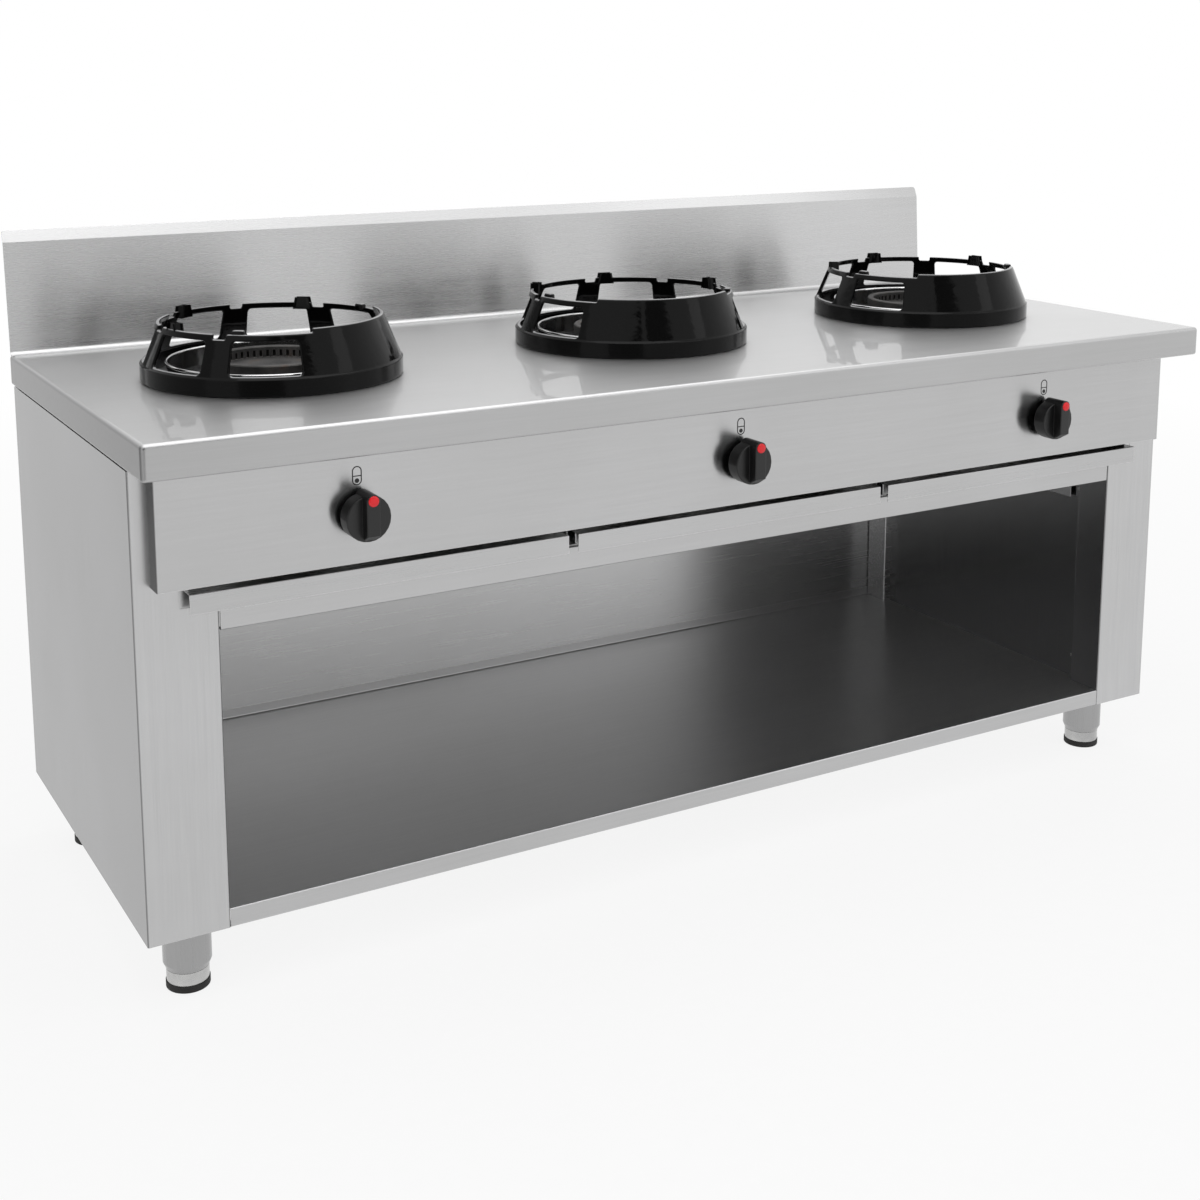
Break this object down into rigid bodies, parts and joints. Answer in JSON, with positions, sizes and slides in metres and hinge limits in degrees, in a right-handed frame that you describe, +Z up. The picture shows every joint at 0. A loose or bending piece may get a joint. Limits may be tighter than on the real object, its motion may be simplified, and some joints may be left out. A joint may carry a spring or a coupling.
{
  "type": "wok range",
  "caption": "Free-standing gas wok range: stainless worktop with splashback, burners under black ring stands, turn knobs, pull-out drip trays, open shelf below on adjustable legs.",
  "frame": {"origin": "on the floor under the middle of the whole range's bounding box", "axes": "+X along the front to the right, +Y to the back (splashback), +Z up"},
  "size_m": [1.8, 0.745, 0.969],
  "materials": {
    "worktop_steel": "fine satin grain",
    "cabinet_steel": "fine satin grain",
    "inner_steel": "satin",
    "screw_steel": "bright",
    "collar_steel": "polished",
    "tray_steel": "fine satin grain",
    "stand_enamel": "glossy black enamel",
    "burner_iron": "cast",
    "crown_iron": "machined casting",
    "tap_brass": "machined",
    "plug_brass": "ground",
    "spindle_steel": "turned",
    "knob_black": "satin black",
    "dot_red": "red",
    "pipe_steel": "drawn tube",
    "feed_copper": "copper-coloured tube",
    "injector_brass": "turned",
    "leg_steel": "satin tube",
    "insert_steel": "satin",
    "foot_rubber": "black"
  },
  "bodies": {
    "cabinet": {"worktop": "worktop_steel", "splashback": "worktop_steel", "side_panel_left": "cabinet_steel", "side_panel_right": "cabinet_steel", "control_panel": "cabinet_steel", "front_rail": "cabinet_steel", "bottom_shelf": "cabinet_steel", "side_liner_left": "inner_steel", "side_liner_right": "inner_steel", "rear_post_left": "inner_steel", "rear_post_right": "inner_steel", "back_panel": "inner_steel", "rear_rails": "inner_steel", "tray_guides": "inner_steel", "burner_brackets": "inner_steel", "liner_screws": "screw_steel", "burner_collar_left": "collar_steel", "burner_collar_middle": "collar_steel", "burner_collar_right": "collar_steel", "burner_body_left": "burner_iron", "burner_body_middle": "burner_iron", "burner_body_right": "burner_iron", "burner_crown_left": "crown_iron", "burner_crown_middle": "crown_iron", "burner_crown_right": "crown_iron", "gas_tap_left": "tap_brass", "gas_tap_middle": "tap_brass", "gas_tap_right": "tap_brass", "gas_manifold": "pipe_steel", "feed_pipes": "feed_copper", "pilot_burners": "feed_copper", "flame_sensors": "feed_copper", "injectors": "injector_brass", "leg_tubes": "leg_steel"},
    "tap_left": {"tap_plug_left": "plug_brass"},
    "knob_left": {"knob_left": "knob_black", "tap_spindle_left": "spindle_steel", "knob_dot_left": "dot_red"},
    "tap_middle": {"tap_plug_middle": "plug_brass"},
    "knob_middle": {"knob_middle": "knob_black", "tap_spindle_middle": "spindle_steel", "knob_dot_middle": "dot_red"},
    "tap_right": {"tap_plug_right": "plug_brass"},
    "knob_right": {"knob_right": "knob_black", "tap_spindle_right": "spindle_steel", "knob_dot_right": "dot_red"},
    "tray_left": {"drip_tray_left": "tray_steel"},
    "tray_middle": {"drip_tray_middle": "tray_steel"},
    "tray_right": {"drip_tray_right": "tray_steel"},
    "stand_left": {"wok_stand_left": "stand_enamel"},
    "stand_middle": {"wok_stand_middle": "stand_enamel"},
    "stand_right": {"wok_stand_right": "stand_enamel"},
    "foot_front_left": {"foot_insert_front_left": "insert_steel", "foot_pad_front_left": "foot_rubber"},
    "foot_front_right": {"foot_insert_front_right": "insert_steel", "foot_pad_front_right": "foot_rubber"},
    "foot_rear_left": {"foot_insert_rear_left": "insert_steel", "foot_pad_rear_left": "foot_rubber"},
    "foot_rear_right": {"foot_insert_rear_right": "insert_steel", "foot_pad_rear_right": "foot_rubber"}
  },
  "joints": [
    {"name": "tap_left_turn", "type": "hinge", "parent": "cabinet", "child": "tap_left", "pos_m": [-0.604, -0.2785, 0.6445], "axis": [0, -1, 0], "range_deg": [0, 180]},
    {"name": "knob_left_push", "type": "slide", "parent": "tap_left", "child": "knob_left", "axis": [0, 1, 0], "range_m": [0, 0.004], "stiffness_N_per_m": 3000, "springref_m": -0.002},
    {"name": "tap_middle_turn", "type": "hinge", "parent": "cabinet", "child": "tap_middle", "pos_m": [0, -0.2785, 0.6445], "axis": [0, -1, 0], "range_deg": [0, 180]},
    {"name": "knob_middle_push", "type": "slide", "parent": "tap_middle", "child": "knob_middle", "axis": [0, 1, 0], "range_m": [0, 0.004], "stiffness_N_per_m": 3000, "springref_m": -0.002},
    {"name": "tap_right_turn", "type": "hinge", "parent": "cabinet", "child": "tap_right", "pos_m": [0.604, -0.2785, 0.6445], "axis": [0, -1, 0], "range_deg": [0, 180]},
    {"name": "knob_right_push", "type": "slide", "parent": "tap_right", "child": "knob_right", "axis": [0, 1, 0], "range_m": [0, 0.004], "stiffness_N_per_m": 3000, "springref_m": -0.002},
    {"name": "tray_left_slide", "type": "slide", "parent": "cabinet", "child": "tray_left", "axis": [0, -1, 0], "range_m": [0, 0.5]},
    {"name": "tray_middle_slide", "type": "slide", "parent": "cabinet", "child": "tray_middle", "axis": [0, -1, 0], "range_m": [0, 0.5]},
    {"name": "tray_right_slide", "type": "slide", "parent": "cabinet", "child": "tray_right", "axis": [0, -1, 0], "range_m": [0, 0.5]},
    {"name": "stand_left_lift", "type": "slide", "parent": "cabinet", "child": "stand_left", "axis": [0, 0, 1], "range_m": [0, 0.15]},
    {"name": "stand_middle_lift", "type": "slide", "parent": "cabinet", "child": "stand_middle", "axis": [0, 0, 1], "range_m": [0, 0.15]},
    {"name": "stand_right_lift", "type": "slide", "parent": "cabinet", "child": "stand_right", "axis": [0, 0, 1], "range_m": [0, 0.15]},
    {"name": "foot_front_left_level", "type": "slide", "parent": "cabinet", "child": "foot_front_left", "axis": [0, 0, -1], "range_m": [0, 0.025]},
    {"name": "foot_front_right_level", "type": "slide", "parent": "cabinet", "child": "foot_front_right", "axis": [0, 0, -1], "range_m": [0, 0.025]},
    {"name": "foot_rear_left_level", "type": "slide", "parent": "cabinet", "child": "foot_rear_left", "axis": [0, 0, -1], "range_m": [0, 0.025]},
    {"name": "foot_rear_right_level", "type": "slide", "parent": "cabinet", "child": "foot_rear_right", "axis": [0, 0, -1], "range_m": [0, 0.025]}
  ]
}
